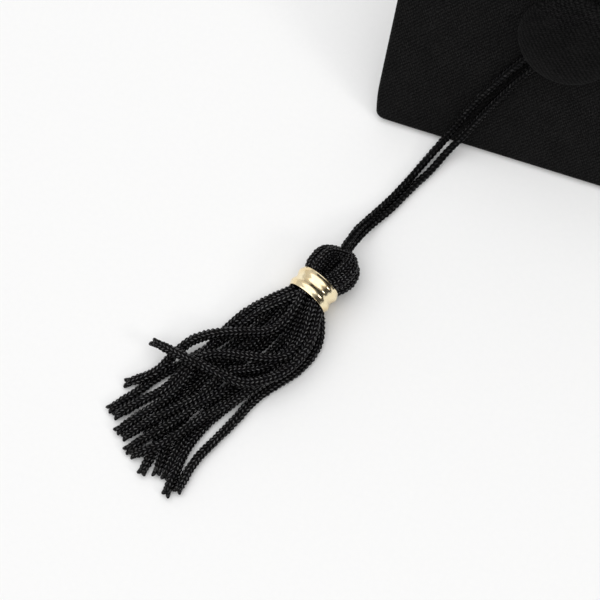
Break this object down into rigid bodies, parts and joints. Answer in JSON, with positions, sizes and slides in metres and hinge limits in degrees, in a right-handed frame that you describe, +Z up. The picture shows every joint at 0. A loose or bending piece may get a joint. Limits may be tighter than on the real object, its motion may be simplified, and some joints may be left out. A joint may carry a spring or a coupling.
{
  "type": "graduation cap",
  "caption": "Miniature mortarboard lying tipped on its board's edge, with a covered button and a knitted-cord tassel with a gilt neck band.",
  "frame": {"origin": "on the surface that the cap lies on, under the middle of the cap without its tassel", "axes": "+Z up from that surface, +X along the board's lower edge, +Y behind the board, where its skullcap is"},
  "size_m": [0.1083, 0.153, 0.067],
  "materials": {
    "twill": "matt black twill",
    "cord": "knitted black rayon cord with a slight sheen",
    "thread": "black sewing thread",
    "lining": "black satin lining",
    "card": "grey card",
    "steel": "plated steel",
    "gold": "polished pale gilt"
  },
  "bodies": {
    "cap": {"board_core": "card", "board_top_cover": "twill", "board_bottom_cover": "twill", "button_cover": "twill", "button_shell": "steel", "button_back": "steel", "button_shank": "steel", "anchor_washer": "steel", "crown_disc": "card", "crown_lining": "lining", "cap_wall": "twill", "wall_stiffener": "card", "wall_lining": "lining"},
    "tassel": {"tassel_loop": "cord", "tassel_head": "cord", "tassel_band": "gold", "neck_tie": "thread", "bound_cords": "cord", "skirt_strand_01": "cord", "skirt_strand_02": "cord", "skirt_strand_03": "cord", "skirt_strand_04": "cord", "skirt_strand_05": "cord", "skirt_strand_06": "cord", "skirt_strand_07": "cord", "skirt_strand_08": "cord", "skirt_strand_09": "cord", "skirt_strand_10": "cord", "skirt_strand_11": "cord", "skirt_strand_12": "cord", "skirt_strand_13": "cord", "skirt_strand_14": "cord"}
  },
  "joints": [
    {"name": "tassel_turn", "type": "hinge", "parent": "cap", "child": "tassel", "pos_m": [0, -0.00929, 0.03419], "axis": [0, -0.8669, 0.4985], "continuous": true}
  ]
}
